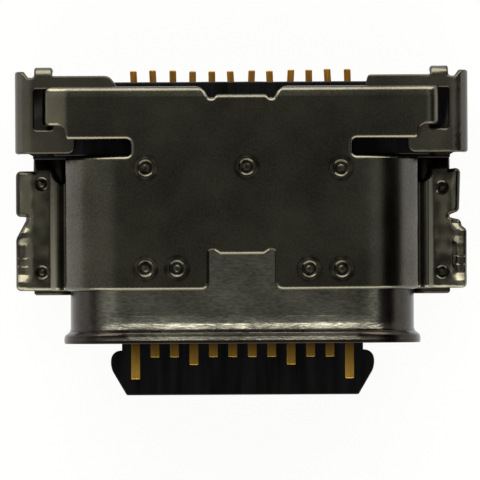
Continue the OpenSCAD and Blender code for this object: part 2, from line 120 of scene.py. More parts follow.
def sheet(outline, holes=(), rounds=(), wall=SHEET, upper_round=SHEET_EDGE, lower_round=None, highlight_at=None):
    """A flat sheet with its top at Z = 0, cut to an outline with holes and with round holes (x, y, radius).

    Its cut edges are rounded, apart from those of the round holes. They get a painted highlight where the
    given test says so, and painted shade elsewhere.
    """
    bm = bmesh.new()
    for corners in (outline, *holes):
        trace(bm, corners)
    for x, y, radius in rounds:
        bmesh.ops.create_circle(bm, segments=WELD_STEPS, radius=radius, matrix=Matrix.Translation((x, y, 0)))
    bmesh.ops.delete(bm, geom=bm.faces[:], context="FACES_ONLY")
    bmesh.ops.triangle_fill(bm, use_beauty=True, edges=bm.edges[:], normal=Z_AXIS)
    bmesh.ops.dissolve_limit(bm, angle_limit=FLAT, verts=bm.verts[:], edges=bm.edges[:])
    lower = bmesh.ops.extrude_face_region(bm, geom=bm.faces[:])
    bmesh.ops.translate(bm, vec=Z_AXIS * -wall, verts=verts_of(lower["geom"]))
    bmesh.ops.recalc_face_normals(bm, faces=bm.faces[:])

    def rim(edge, height):
        """Whether an edge is at a height, and not on a round hole."""
        spot = edge.verts[0].co
        return (all(abs(vert.co.z - height) < CLOSE for vert in edge.verts)
                and all((spot.xy - Vector((x, y))).length > radius + CLOSE for x, y, radius in rounds))

    soften(bm, upper_round, chosen=lambda edge: rim(edge, 0))
    soften(bm, lower_round or upper_round, chosen=lambda edge: rim(edge, -wall))
    bmesh.ops.triangulate(bm, faces=bm.faces[:])
    wear_and_highlight = bm.verts.layers.float.new("wear_and_highlight")
    oxide_and_shade = bm.verts.layers.float.new("oxide_and_shade")
    # Rims get a pale painted highlight where the test picks them, and dark painted shade elsewhere
    for vert in bm.verts:
        on_rim = -wall + CLOSE < vert.co.z < -CLOSE
        lit_rim = highlight_at is not None and highlight_at(abs(vert.co.x), vert.co.y)
        vert[wear_and_highlight] = RIM_HIGHLIGHT * (on_rim and lit_rim)
        vert[oxide_and_shade] = RIM_SHADE * (on_rim and not lit_rim)
    return bm


def spaced(start, end, steps):
    """The places between a start and an end, in equal steps."""
    return [start + (end - start) * i / steps for i in range(1, steps)]


def ramp(value, start, end):
    """The share of the way from a start to an end, from 0 to 1."""
    return min(max((value - start) / (end - start), 0), 1)


def faces_at(bm, chosen=None):
    """The faces whose middle is chosen, or all of them."""
    return [face for face in bm.faces if chosen is None or chosen(face.calc_center_median())]


def score(bm, places, axis, chosen=None):
    """Cuts a mesh's faces across at each place along an axis, so that it can bend there."""
    for place_on_axis in places:
        faces = faces_at(bm, chosen)
        edges = dict.fromkeys(edge for face in faces for edge in face.edges)
        verts = dict.fromkeys(vert for face in faces for vert in face.verts)
        bmesh.ops.bisect_plane(bm, geom=[*verts, *edges, *faces], dist=ON_CUT, plane_co=axis * place_on_axis,
                               plane_no=axis)


# One straight run or bend of a path: its start, length and turn, and the heading and place it starts from
Stretch = namedtuple("Stretch", "at length turn heading along up")


def path(*runs):
    """Lays out straight runs (length, 0) and bends (radius, turn), where a positive turn is downwards."""
    stretches = []
    at = heading = along = up = 0.0
    for size, turn in runs:
        length = size * abs(turn) if turn else size
        stretches.append(Stretch(at, length, turn, heading, along, up))
        at += length
        along, up, _ = place(stretches, at)
        heading += turn
    return stretches


def place(stretches, u):
    """The place (along, up) and the downward heading at a length u on a laid-out path."""
    at, length, turn, heading, along, up = [s for s in stretches if s.at <= u or s is stretches[0]][-1]
    turned = turn * (u - at) / length
    chord = 2 * length / turn * math.sin(turned / 2) if turn else u - at
    angle = heading + turned / 2
    return along + chord * math.cos(angle), up - chord * math.sin(angle), heading + turned


def bent(vert, across=None, along=None):
    """Where a flat sheet's vertex goes when the sheet follows a path outwards in X, one in Y, or both."""
    u, v, depth = vert.co
    side = 1 if u > 0 else -1
    x, x_up, x_turn = place(across, abs(u)) if across else (abs(u), 0, 0)
    y, y_up, y_turn = place(along, v) if along else (v, 0, 0)
    out = Vector((math.sin(x_turn), math.sin(y_turn), math.cos(x_turn) * math.cos(y_turn))).normalized()
    return Vector((side * (x + out.x * depth), y + out.y * depth, x_up + y_up + out.z * depth))


def run_end(stretches):
    """The length at which a path ends."""
    return stretches[-1].at + stretches[-1].length


def stations(stretches):
    """The lengths at which a path's bends are scored."""
    marks = []
    for at, length, turn, *_ in stretches:
        steps = max(1, round(abs(turn) / BEND_STEP))
        marks += [at + length * i / steps for i in range(steps)]
    return [mark for mark in marks if mark > 0]


def flatten(bm):
    """Joins a bent sheet's coplanar faces, so that flat stretches shade as flat."""
    bmesh.ops.remove_doubles(bm, verts=bm.verts[:], dist=MERGE)
    bmesh.ops.dissolve_limit(bm, angle_limit=FLAT, verts=bm.verts[:], edges=bm.edges[:])


def soften(bm, radius, chosen=None):
    """Rounds a mesh's sharp edges."""
    edges = [edge for edge in bm.edges if edge.is_manifold and edge.calc_face_angle() > SHARP
             and (chosen is None or chosen(edge))]
    bmesh.ops.bevel(bm, geom=edges, offset=radius, offset_type="OFFSET", segments=EDGE_STEPS, profile=0.5,
                    affect="EDGES", clamp_overlap=False, material=-1)


def verts_of(geom):
    """The vertices among an operator's results."""
    return [g for g in geom if isinstance(g, bmesh.types.BMVert)]


def edges_of(geom):
    """The edges among an operator's results."""
    return [g for g in geom if isinstance(g, bmesh.types.BMEdge)]


def raise_outline(bm, height, turn):
    """Draws a traced outline out into a solid along Z, and turns it."""
    solid = bmesh.ops.extrude_face_region(bm, geom=bm.faces[:])
    bmesh.ops.translate(bm, vec=Z_AXIS * height, verts=verts_of(solid["geom"]))
    bmesh.ops.recalc_face_normals(bm, faces=bm.faces[:])
    bmesh.ops.transform(bm, matrix=turn, verts=bm.verts[:])


def piece(name, bm, finish, slot, *nodes):
    """Moves a finished mesh to the frame as a piece that stands for solids of the port."""
    bmesh.ops.transform(bm, matrix=TO_FRAME, verts=bm.verts[:])
    for face in bm.faces:
        face.smooth = True
    for edge in bm.edges:
        edge.smooth = not edge.is_manifold or edge.calc_face_angle() < SHARP
    mesh = bpy.data.meshes.new(name)
    bm.to_mesh(mesh)
    bm.free()
    mesh.materials.append(finish)
    obj = bpy.data.objects.new(name, mesh)
    bpy.context.scene.collection.objects.link(obj)
    flat = obj.modifiers.new("flat_faces", "WEIGHTED_NORMAL")
    flat.keep_sharp = True
    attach(obj, "root")
    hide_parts(*nodes)


# Finishes

def linear(hex_colour):
    """A colour socket's value from an sRGB hex value."""
    channels = [int(hex_colour[i:i + 2], 16) / 255 for i in (1, 3, 5)]
    return [c / 12.92 if c <= 0.04045 else ((c + 0.055) / 1.055) ** 2.4 for c in channels] + [1]


def add(tree, kind, inputs=(), **settings):
    """Adds a node with its settings, its input values and its links."""
    node = tree.nodes.new(kind)
    for name, value in settings.items():
        setattr(node, name, value)
    for name, value in dict(inputs).items():
        if isinstance(value, bpy.types.NodeSocket):
            tree.links.new(value, node.inputs[name])
        else:
            node.inputs[name].default_value = value
    return node


def per_mm(*sizes):
    """Pattern scales from a pattern's sizes in millimetres."""
    return [1 / (MM * size) for size in sizes]


def mixed(tree, share, first, second):
    """A colour between two, each a hex value or another node's colour."""
    first, second = (linear(c) if isinstance(c, str) else c for c in (first, second))
    return add(tree, "ShaderNodeMix", {"Factor": share, "A": first, "B": second}, data_type="RGBA").outputs[2]


def mapped(tree, value, start, end, low=0, high=1, **settings):
    """A value that goes from low to high while another goes from start to end."""
    limits = {"Value": value, "From Min": start, "From Max": end, "To Min": low, "To Max": high}
    return add(tree, "ShaderNodeMapRange", limits, **settings).outputs["Result"]


def reckoned(tree, operation, first, second):
    """The sum, the product or the larger of two values."""
    return add(tree, "ShaderNodeMath", {0: first, 1: second}, operation=operation).outputs[0]


def grained(tree, where, sizes_mm, detail):
    """Noise with patches of the given sizes along X, Y and Z."""
    grain = add(tree, "ShaderNodeMapping", {"Vector": where, "Scale": per_mm(*sizes_mm)})
    pattern = {"Vector": grain.outputs["Vector"], "Scale": 1, "Detail": detail}
    return add(tree, "ShaderNodeTexNoise", pattern).outputs["Fac"]


def dent(tree, shader, height, strength, depth_mm):
    """Gives a shader's surface shallow dents."""
    dents = add(tree, "ShaderNodeBump", {"Height": height, "Strength": strength, "Distance": depth_mm * MM})
    tree.links.new(dents.outputs["Normal"], shader.inputs["Normal"])


def new_finish(name):
    """An empty node material, with its Principled shader and the piece's own coordinates."""
    material = bpy.data.materials.new(name)
    material.use_nodes = True
    tree = material.node_tree
    shader = tree.nodes["Principled BSDF"]
    place_node = add(tree, "ShaderNodeTexCoord")
    return material, tree, shader, place_node.outputs["Object"]


# Steel: the size of its clouds, how they vary its gloss, its grain's depth, its dark heat-tint colours that
# also paint shade, and its pale colour and gloss for wear and painted highlights
CLOUD = 1.4
CLOUD_GLOSS = 0.04
GRAIN_DEPTH = 0.01
OXIDE_AND_SHADE = ("#212127", "#33291b")
PALE_WEAR_AND_HIGHLIGHT = "#8c897a"
PALE_ROUGHNESS = 0.3


def steel(name, dark, light, roughness, grain_mm, bump, worked_and_painted_light=False):
    """Stainless sheet: a dull olive-grey metal with rolling grain and faint clouds.

    Where it was welded, heat has left a blue-brown film, and the same dark colour is painted shade in
    creases, on edges and in the strap's shadow. Edges, steps and the strap's bends get a paler painted
    highlight, the wings' patches are paler partly from wear and partly as painted highlight, and tabs are
    rubbed paler.
    """
    material, tree, shader, where = new_finish(name)
    streaks = grained(tree, where, grain_mm, 3)
    clouds = {"Vector": where, "Scale": per_mm(CLOUD)[0], "Detail": 5}
    cloud = add(tree, "ShaderNodeTexNoise", clouds).outputs["Fac"]
    tone = mixed(tree, mapped(tree, reckoned(tree, "ADD", streaks, cloud), 0.7, 1.3), dark, light)
    dull = mapped(tree, cloud, 0.3, 0.7, roughness - CLOUD_GLOSS, roughness + CLOUD_GLOSS)
    if worked_and_painted_light:
        # Dark colour: heat tint round the welds, and painted shade in creases, on edges and under the strap
        oxide_and_shade = add(tree, "ShaderNodeAttribute", attribute_name="oxide_and_shade").outputs["Fac"]
        tone = mixed(tree, oxide_and_shade, tone, mixed(tree, cloud, *OXIDE_AND_SHADE))
        # Pale colour: wear on the tabs and wings, and a painted highlight on edges, steps and bends
        wear_and_highlight = add(tree, "ShaderNodeAttribute", attribute_name="wear_and_highlight").outputs["Fac"]
        tone = mixed(tree, wear_and_highlight, tone, PALE_WEAR_AND_HIGHLIGHT)
        dull = mapped(tree, wear_and_highlight, 0, 1, dull, PALE_ROUGHNESS)
    tree.links.new(tone, shader.inputs["Base Color"])
    tree.links.new(dull, shader.inputs["Roughness"])
    dent(tree, shader, streaks, bump, GRAIN_DEPTH)
    shader.inputs["Metallic"].default_value = 1
    return material


# The moulding's flow lines: their size along X, Y and Z, and their depth
FLOW_LINES = (0.22, 2.4, 0.3)
FLOW_DEPTH = 0.006


def black_polymer():
    """Moulded liquid-crystal polymer: near black and dull, with flow lines along the tongue."""
    material, tree, shader, where = new_finish("black_liquid_crystal_polymer")
    flow = grained(tree, where, FLOW_LINES, 5)
    tone = mixed(tree, mapped(tree, flow, 0.35, 0.65), "#020203", "#111216")
    tree.links.new(tone, shader.inputs["Base Color"])
    dent(tree, shader, flow, 0.25, FLOW_DEPTH)
    shader.inputs["Roughness"].default_value = 0.4
    shader.inputs["Specular IOR Level"].default_value = 0.12
    return material


# The contacts' rub marks, where painted shade darkens the gold towards the mouth, and where it turns browner
# towards the tails
RUB_MARKS = (0.05, 0.5, 0.05)
MOUTH_SHADE_Y = (-0.75, 0)
TAIL_FADE_Y = (5.5, 5.9)


def gold_plate():
    """Gold on a stamped copper alloy: bright at the tip, darkened by painted shade towards the mouth, browner
    on the tails.
    """
    material, tree, shader, where = new_finish("gold_plated_copper_alloy")
    marks = grained(tree, where, RUB_MARKS, 4)
    along = add(tree, "ShaderNodeSeparateXYZ", {"Vector": where}).outputs["Y"]
    mouth, tail = (mapped(tree, along, PORT.y + start * MM, PORT.y + end * MM)
                   for start, end in (MOUTH_SHADE_Y, TAIL_FADE_Y))
    # Towards the mouth the gold turns dark brown: painted shade of the lip
    gold = mixed(tree, mouth, mixed(tree, marks, "#a67f2e", "#d8b058"), "#5c4520")
    flash = mixed(tree, marks, "#7a5220", "#b08038")
    tree.links.new(mixed(tree, tail, gold, flash), shader.inputs["Base Color"])
    tree.links.new(mapped(tree, marks, 0, 1, 0.45, 0.6), shader.inputs["Roughness"])
    shader.inputs["Metallic"].default_value = 1
    return material


# Rolling grain is finer than a pixel, so it is drawn a few times coarser than it is
COVER_GRAIN = (0.05, 0.05, 0.05)
DRAWN_GRAIN = (0.14, 0.045, 0.14)
cover_steel = steel("rolled_stainless_cover", "#494841", "#66645b", 0.22, COVER_GRAIN, 0.15, worked_and_painted_light=True)
shell_steel = steel("drawn_stainless_shell", "#686760", "#a3a299", 0.23, DRAWN_GRAIN, 0.35, worked_and_painted_light=True)
bracket_steel = steel("rolled_stainless_bracket", "#5e5c54", "#706e64", 0.3, COVER_GRAIN, 0.3, worked_and_painted_light=True)
plate_steel = steel("plain_stainless_plate", "#77766f", "#8f8e87", 0.35, DRAWN_GRAIN, 0.25)
moulding = black_polymer()
contact_gold = gold_plate()


# Drawn shell, spun round both ends of the mouth

SHELL_R = 1.48
SHELL_WIDE_R = 1.53
COVERED_Y = 1.45
WIDE_END_Y = COVERED_Y + 0.3
MOUTH_R = 1.28
MOUTH_ROUND = 0.12
LIP_R = LIP_HIGH.z
LIP_T = 0.28
LIP_BACK = LIP_R - 0.02
LIP_CREST_Y = 0.2
LIP_CREST_ROUND = 0.08
LIP_BROW = (LIP_R - 0.045, 0.085)
LIP_BROW_ROUND = 0.05
LIP_FACE = LIP_R - 0.06
LIP_FACE_ROUND = 0.02
CREASE_R = 0.02
FLARE_Y = 0.7
FLARE_ROUND = 0.4
FLARE_KNEE = (1.515, 0.53)
FLARE_KNEE_ROUND = 0.3
FLARE_FOOT = (1.59, 0.36)
FLARE_STEPS = 60
FLARE_MOTTLE = 0.014
FLARE_GRAIN = 0.22
GROOVE = (1.53, 0.305)
SHELL_END_ROUND = 0.04
END_X = LIP_HIGH.x - LIP_R
SPIN_STEPS = 40
# The section at the mouth's ends, where the lip is thinner and runs out in a fillet: distance and radius
END_SECTION = ((0, LIP_R - 0.015), (0.04, LIP_R), (0.16, LIP_R), (0.22, LIP_R - 0.035),
               (0.26, SHELL_WIDE_R + 0.08), (0.3, SHELL_WIDE_R + 0.035), (0.38, SHELL_WIDE_R))
# Where painted shade darkens the shell, and how much: below the lip's brow, in the crease, on the lip and at
# the ends
BROW_SHADE = 0.95
CREASE_SHADE = 0.8
CREASE_Y = (LIP_CREST_Y + 0.03, FLARE_FOOT[1] - 0.01)
END_CREASE_Y = (LIP_CREST_Y - 0.06, FLARE_FOOT[1] - 0.01)
LIP_SHADE = 0.2
END_SHADE = 0.87
END_SHADE_X = (END_X + 0.6, END_X + 0.9)


def square_end(vert):
    """Takes the flare and the lip's bead out of the section towards the mouth's ends, which are wider."""
    axis = Vector((math.copysign(END_X, vert.co.x), vert.co.y, 0))
    out = vert.co - axis
    endwise = abs(out.x / out.length)
    if out.length > (MOUTH_R + SHELL_R) / 2:
        radius = SHELL_WIDE_R
        for (y0, radius0), (y1, radius1) in zip(END_SECTION, END_SECTION[1:]):
            if y0 <= vert.co.y < y1:
                radius = radius0 + (radius1 - radius0) * (vert.co.y - y0) / (y1 - y0)
        vert.co = axis + out * (1 + (radius / out.length - 1) * endwise)


def shell_shade(x, y):
    """How strongly painted shade darkens the shell at a distance x from the middle and y from the lip's face.
    """
    past_end = x > END_X + CLOSE
    crease = END_CREASE_Y if past_end else CREASE_Y
    crease_shade = BROW_SHADE if past_end else CREASE_SHADE
    return max(crease_shade * (crease[0] < y < crease[1]), BROW_SHADE * (y < LIP_BROW[1]),
               LIP_SHADE * (y < LIP_T), END_SHADE * ramp(x, *END_SHADE_X))


def drawn_shell():
    """The tube round the mouth: its section, spun round both ends and drawn across between them."""
    bm = bmesh.new()
    trace(bm, [(SHELL_R, LIP_HIGH.y, SHELL_END_ROUND), (SHELL_R, WIDE_END_Y), (SHELL_R, COVERED_Y),
               (SHELL_R, FLARE_Y, FLARE_ROUND), (*FLARE_KNEE, FLARE_KNEE_ROUND), (*FLARE_FOOT, CREASE_R),
               (*GROOVE, CREASE_R), (LIP_BACK, LIP_T, CREASE_R), (LIP_R, LIP_CREST_Y, LIP_CREST_ROUND),
               (*LIP_BROW, LIP_BROW_ROUND), (LIP_FACE, 0, LIP_FACE_ROUND), (MOUTH_R, 0, MOUTH_ROUND),
               (MOUTH_R, LIP_HIGH.y, SHELL_END_ROUND)])
    bmesh.ops.delete(bm, geom=bm.faces[:], context="FACES_ONLY")
    # The outline's X is the distance from the end's axis, which is turned up to Z here
    upright = Matrix(((0, 0, 0, END_X), (0, 1, 0, 0), (1, 0, 0, 0), (0, 0, 0, 1)))
    bmesh.ops.transform(bm, matrix=upright, verts=bm.verts[:])
    ring = bm.verts[:] + bm.edges[:]
    for side in (1, -1):
        turned = bmesh.ops.spin(bm, geom=ring, cent=(side * END_X, 0, 0), axis=Y_AXIS, angle=math.pi,
                                steps=SPIN_STEPS)
        drawn = bmesh.ops.extrude_edge_only(bm, edges=edges_of(turned["geom_last"]))
        ring = verts_of(drawn["geom"]) + edges_of(drawn["geom"])
        bmesh.ops.translate(bm, vec=X_AXIS * -2 * side * END_X, verts=verts_of(ring))
    bmesh.ops.remove_doubles(bm, verts=bm.verts[:], dist=MERGE)
    bmesh.ops.recalc_face_normals(bm, faces=bm.faces[:])
    score(bm, spaced(-END_X, END_X, FLARE_STEPS), X_AXIS)
    oxide_and_shade = bm.verts.layers.float.new("oxide_and_shade")
    for vert in bm.verts:
        if vert.co.y < COVERED_Y + CLOSE and abs(vert.co.x) > END_X:
            square_end(vert)
        if LIP_T < vert.co.y < FLARE_Y and abs(vert.co.z) > SHELL_R - CLOSE:
            vert.co.z += math.copysign(FLARE_MOTTLE * noise.noise(vert.co / FLARE_GRAIN), vert.co.z)
        # Painted shade on the shell
        vert[oxide_and_shade] = shell_shade(abs(vert.co.x), vert.co.y)
    piece("drawn_shell", bm, shell_steel, "shell_steel", "front_shell")


# Covers, bent from flat blanks

ROLL_OVER = 0.11
BURR = 0.03
CROWN_R = TOP_HIGH.z
COVER_Y = TOP_LOW.y
WING_BEND = 0.42
WING_X0 = END_X + CROWN_R + WING_BEND
WING_X = LOWER_HIGH.x
TAB_X = TOP_HIGH.x
NOTCH_Y = 2.27
SLOT_Y = LOWER_HIGH.y
SLOT_W = 0.42
SLOT_X = 2.84
RELIEF_Y = 4.2
BOARD_Z = -0.72
LOWER_TURN = math.acos(0.6)

# The crown ends in a gutter, whose outer bank is pressed down to the wing by a slanting step
GUTTER_TURN = math.radians(22)
GUTTER_R = 0.06
GUTTER_RUN = 0.06
STEP_TURN = math.radians(43.5)
STEP_R = 0.15
STEP_FOOT_R = 0.03
STEP = (WING_BEND - GUTTER_R * (1 + math.sin(GUTTER_TURN)) - GUTTER_RUN * math.cos(GUTTER_TURN)
        - STEP_R * (math.sin(STEP_TURN) + math.sin(GUTTER_TURN))
        - STEP_FOOT_R * math.sin(STEP_TURN)) / math.cos(STEP_TURN)
GUTTER_FALL = (GUTTER_R * math.cos(GUTTER_TURN) - GUTTER_RUN * math.sin(GUTTER_TURN)
               + STEP_R * (math.cos(GUTTER_TURN) - math.cos(STEP_TURN)) + STEP * math.sin(STEP_TURN)
               + STEP_FOOT_R * (1 - math.cos(STEP_TURN)))
# The crown's side is one wide bend and a tight one at its foot
SIDE_TURN = math.radians(60)
SIDE_FOOT_R = 0.25
SIDE_R = (CROWN_R - SIDE_FOOT_R * (1 - math.sin(SIDE_TURN))) / math.sin(SIDE_TURN)
SIDE_FALL = SIDE_R * (1 - math.cos(SIDE_TURN)) + SIDE_FOOT_R * math.cos(SIDE_TURN)
CROWN = path((END_X, 0), (SIDE_R, SIDE_TURN), (SIDE_FOOT_R, QUARTER - SIDE_TURN),
             (CROWN_R + WING_BEND - SIDE_FALL - GUTTER_FALL, 0), (GUTTER_R, -QUARTER - GUTTER_TURN),
             (GUTTER_RUN, 0), (STEP_R, GUTTER_TURN + STEP_TURN), (STEP, 0), (STEP_FOOT_R, -STEP_TURN),
             (TAB_X - WING_X0, 0))
# The runs of that path with which the gutter, the step and the wing start
GUTTER_I = 4
STEP_I = 6
WING_I = 9
CROWN_END = CROWN[GUTTER_I].at - WING_BEND + GUTTER_FALL
STEP_U = CROWN[STEP_I].at
WING_U = CROWN[WING_I].at
WING_Z = CROWN_R + CROWN[WING_I].up
CURL_Y = 4.48
CURL_Z = 0.15

# The strap's ends: one round bend on the right, two softer ones on the left
STRAP_Y = SLOT_Y + SLOT_W
STRAP_END_Y = TOP_HIGH.y
STRAP_X = 5.11
STRAP_END_Z = 0.48
STRAP_BEND_R = 0.42
REAR_BEND = 0.28
REAR_SET = math.radians(10)
REAR_R1 = 0.16
REAR_R2 = 0.16
REAR_RUN = ((REAR_BEND - REAR_R1 * math.sin(REAR_SET) - REAR_R2 * (1 - math.sin(REAR_SET)))
            / math.cos(REAR_SET))
REAR_LIP = 0.1
LEFT_BEND_X = 4.42
LEFT_TILT = math.radians(25)
LEFT_R1 = 0.35
LEFT_R2 = 0.35
LEFT_RUN = ((STRAP_X - LEFT_BEND_X - LEFT_R1 * math.sin(LEFT_TILT) - LEFT_R2 * (1 - math.sin(LEFT_TILT)))
            / math.cos(LEFT_TILT))
LEFT_FALL = (LEFT_R1 * (1 - math.cos(LEFT_TILT)) + LEFT_RUN * math.sin(LEFT_TILT)
             + LEFT_R2 * math.cos(LEFT_TILT))
STRAPS = {
    1: path((STRAP_X - STRAP_BEND_R, 0), (STRAP_BEND_R, QUARTER), (CROWN_R - STRAP_BEND_R - STRAP_END_Z, 0)),
    -1: path((LEFT_BEND_X, 0), (LEFT_R1, LEFT_TILT), (LEFT_RUN, 0), (LEFT_R2, QUARTER - LEFT_TILT),
             (CROWN_R - LEFT_FALL - STRAP_END_Z, 0))}
REAR = path((STRAP_END_Y - REAR_BEND, 0), (REAR_R1, REAR_SET), (REAR_RUN, 0), (REAR_R2, QUARTER - REAR_SET),
            (REAR_LIP, 0))
REAR_TAB_X = 0.8
MIDDLE_END_Y = 6.4
MIDDLE_R = 0.13
MIDDLE_LIP = 0.05
MIDDLE = path((MIDDLE_END_Y - MIDDLE_R, 0), (MIDDLE_R, QUARTER), (MIDDLE_LIP, 0))
STRAP_NECK_X = 4.56
STRAP_WALL_Y = (STRAP_Y + 0.35, 6.29)

# Solder tabs, in plan: a plain one behind and a worn, wavy one in front of the notch
NOTCH_TAB_Y = 3.25
TABS = {
    1: [(5.79, COVER_Y + 0.03, 0.12), (5.79, 2.9, 0.12), (5.665, 3.0, 0.04), (5.635, 3.15, 0.12),
        (WING_X - 0.12, 3.235, 0.05), (5.6, 3.37, 0.12), (5.64, 4.5, 0.13), (WING_X, 4.46)],
    -1: [(TAB_X, COVER_Y, 0.13), (TAB_X, 2.7, 0.25), (5.57, 3.17, 0.05), (5.555, 3.265, 0.03),
         (TAB_X, 3.275, 0.12), (TAB_X, 4.45, 0.13), (WING_X, 4.45)]}
# Where the wavy tab was pressed: each slope's start and end, and whether it falls or rises
DISH_SLOPES = ((1.57, 1.79, 1), (2.52, 2.74, -1), (2.86, 3.06, 1))
DISH_DEPTH = 0.11
RIPPLE = 0.045
RIPPLE_GRAIN = 0.36
DISH_STEEP = 2.5
CREASE_WANDER = 0.07
CREASE_GRAIN = 0.25
WING_WAVE = {-1: 0.014, 1: 0.026}
WING_GRAIN = 0.3
WAVE_FADE = 0.1
# How closely the wings are cut across and along, so that they can be dented
WING_CUTS = 16
LOWER_CUTS = 6
WING_ROWS = 28
# How strongly the step carries a painted highlight: the left step more towards the front, the right one
# evenly
STEP_HIGHLIGHT = {-1: lambda y: ramp(y, 4.2, 1.9), 1: lambda y: 0.9}
# Pale patches on the wings, partly wear and partly painted highlight, and the tabs rubbed paler
WING_WEAR_AND_SHEEN = 0.4
WING_PATCH = {-1: 2, 1: 4}
PATCH_GRAIN = 0.28
TAB_WEAR = {-1: 0.5, 1: 0.3}
PLAIN_TAB_WEAR = 0.4
# A painted highlight on the strap's bent ends, stronger on the left
STRAP_HIGHLIGHT = {-1: 0.6, 1: 0.3}
# Where that painted highlight and wear come and go: on the step, the wing and the tab from their edges, and
# on the strap's bend
STEP_FADE_U = (STEP_U + 0.08, STEP_U + 0.14)
STEP_FOOT_FADE = 0.02
WING_FADE = 0.05
TAB_FADE = 0.08
STRAP_FADE_IN = (0, 0.3)
STRAP_FADE_OUT = (0.8, 0.55)
# Where the covers' edges get a painted highlight, on the blank
HIGHLIGHT_DEPTH = 0.2
HIGHLIGHT_FRONT_U = 3.7
HIGHLIGHT_NOTCH_U = 0.7
HIGHLIGHT_SLOT_U = (SLOT_X - 0.15, 4.5)
HIGHLIGHT_SLOT_V = (SLOT_Y - 0.15, STRAP_Y + 0.15)
HIGHLIGHT_REAR_U = 4.7
HIGHLIGHT_REAR_V = 6.2
# The wings' rear ends, which lie in the shade of the strap, get a painted shadow
STRAP_SHADOW = 0.8
HIDDEN_U = CROWN_END - 0.05
HIDDEN_Y = (4.25, 4.5)
LOWER_HIDDEN_REACH = 0.4
LOWER_HIDDEN_Y = (4.0, 4.2)
SCRIBES = (2.0, 2.21)
SCRIBE_HALF = 0.02
SCRIBE_DEPTH = 0.02

# Welds: places on the crown and on the wings, the rim's radius, and the radius that the heat reached
WELD_R = 0.245
WELD_HEAT = 1.5
WING_WELD_R = 0.2
WING_WELD_HEAT = 1.02
WELD_STEPS = 32
WELD_ROUGH = 0.03
WELD_GRAIN = 0.16
WELD_PATCH = 0.7
CROWN_WELDS = [(-2.46, 4.51), (0.13, 4.53), (2.55, 4.49)]
CROWN_WELDS += [(-2.48, 1.93), (-1.67, 1.93), (1.73, 1.9), (2.56, 1.9)]
WING_WELD_X = (WING_X0 + WING_X) / 2
WING_WELDS = [(-WING_WELD_X, 1.84), (-WING_WELD_X, 4.12), (WING_WELD_X, 1.8), (WING_WELD_X, 3.98)]


def on_wing(x):
    """The length on the blank of a place on the flat wing."""
    return WING_U + x - WING_X0


def tab_drop(side, x, y):
    """How far a solder tab lies below its wing at a place."""
    crease = WING_X + CREASE_WANDER * (0.5 + 0.5 * noise.noise(Vector((3 * side, y / CREASE_GRAIN, 0))))
    out = ramp(x, crease, TAB_X)
    if y > NOTCH_TAB_Y:
        return SHEET * out
    dish = DISH_DEPTH * sum(fall * ramp(y, start, end) for start, end, fall in DISH_SLOPES)
    dish += RIPPLE * noise.noise(Vector((x, y, 7 * side)) / RIPPLE_GRAIN)
    scribed = sum(max(0, 1 - abs(y - line) / SCRIBE_HALF) for line in SCRIBES)
    return min(1, DISH_STEEP * out) * (dish + SCRIBE_DEPTH * scribed)


def cover_half(side):
    """The cover's blank on one side of the middle line, from the front notch round to the rear lip."""
    strap = STRAPS[side]
    bend_u = strap[-1].at
    strap_u = run_end(strap)
    rear_v = run_end(REAR)
    wall_y, wall_end_y = STRAP_WALL_Y
    notch = [(0, NOTCH_Y), (0.57, NOTCH_Y, 0.15), (0.73, NOTCH_Y + 0.1, 0.06), (0.84, NOTCH_Y + 0.09, 0.05),
             (0.84, COVER_Y, 0.2)]
    tabs = [(on_wing(corner[0]), *corner[1:]) for corner in TABS[side]]
    wing = [(on_wing(WING_X), SLOT_Y, 0.12), (WING_U + 0.1, SLOT_Y, 0.12), (WING_U - 0.2, RELIEF_Y, 0.3),
            (CROWN_END, RELIEF_Y, 0.1), (CROWN_END, SLOT_Y, 0.12)]
    slot = [(SLOT_X, SLOT_Y, 0.12), (SLOT_X, STRAP_Y, 0.12)]
    end = [(STRAP_NECK_X, STRAP_Y, 0.12), (STRAP_NECK_X, wall_y, 0.2), (strap_u, wall_y, 0.12),
           (strap_u, wall_end_y, 0.12), (bend_u, wall_end_y, 0.05), (bend_u, rear_v, 0.2)]
    lip = [(1.1, rear_v, 0.2), (0.88, 6.42, 0.15), (0.82, 6.3, 0.04), (0.72, 6.3, 0.04),
           (0.67, run_end(MIDDLE), 0.12), (0, run_end(MIDDLE))]
    return notch + tabs + wing + slot + end + lip


def wing_wave(x, y):
    """How far a wing is dented at a place."""
    wave = WING_WAVE[1 if x > 0 else -1] * noise.noise(Vector((x, y, 0)) / WING_GRAIN)
    return wave * ramp(abs(x), WING_X0, WING_X0 + WAVE_FADE)


def curl(y):
    """How far a wing's rear end is bent down at a place along it."""
    return CURL_Z * max(0, y - CURL_Y) / (SLOT_Y - CURL_Y)


def wing_wear_and_highlight(side, u, v):
    """How far the step (painted highlight), the wing (pale patches, partly wear and partly painted highlight)
    and its tabs (rubbed) are made paler at a place on the blank.
    """
    tab_u = on_wing(WING_X)
    step = STEP_HIGHLIGHT[side](v) * ramp(u, *STEP_FADE_U) * ramp(u, WING_U, WING_U - STEP_FOOT_FADE)
    patch = max(0, 1 + WING_PATCH[side] * noise.noise(Vector((u * side, v, 5)) / PATCH_GRAIN))
    wing = min(1, WING_WEAR_AND_SHEEN * patch) * ramp(u, WING_U, WING_U + WING_FADE)
    tab = TAB_WEAR[side] if v < NOTCH_TAB_Y else PLAIN_TAB_WEAR
    return max(step, wing, tab * ramp(u, tab_u, tab_u + TAB_FADE))


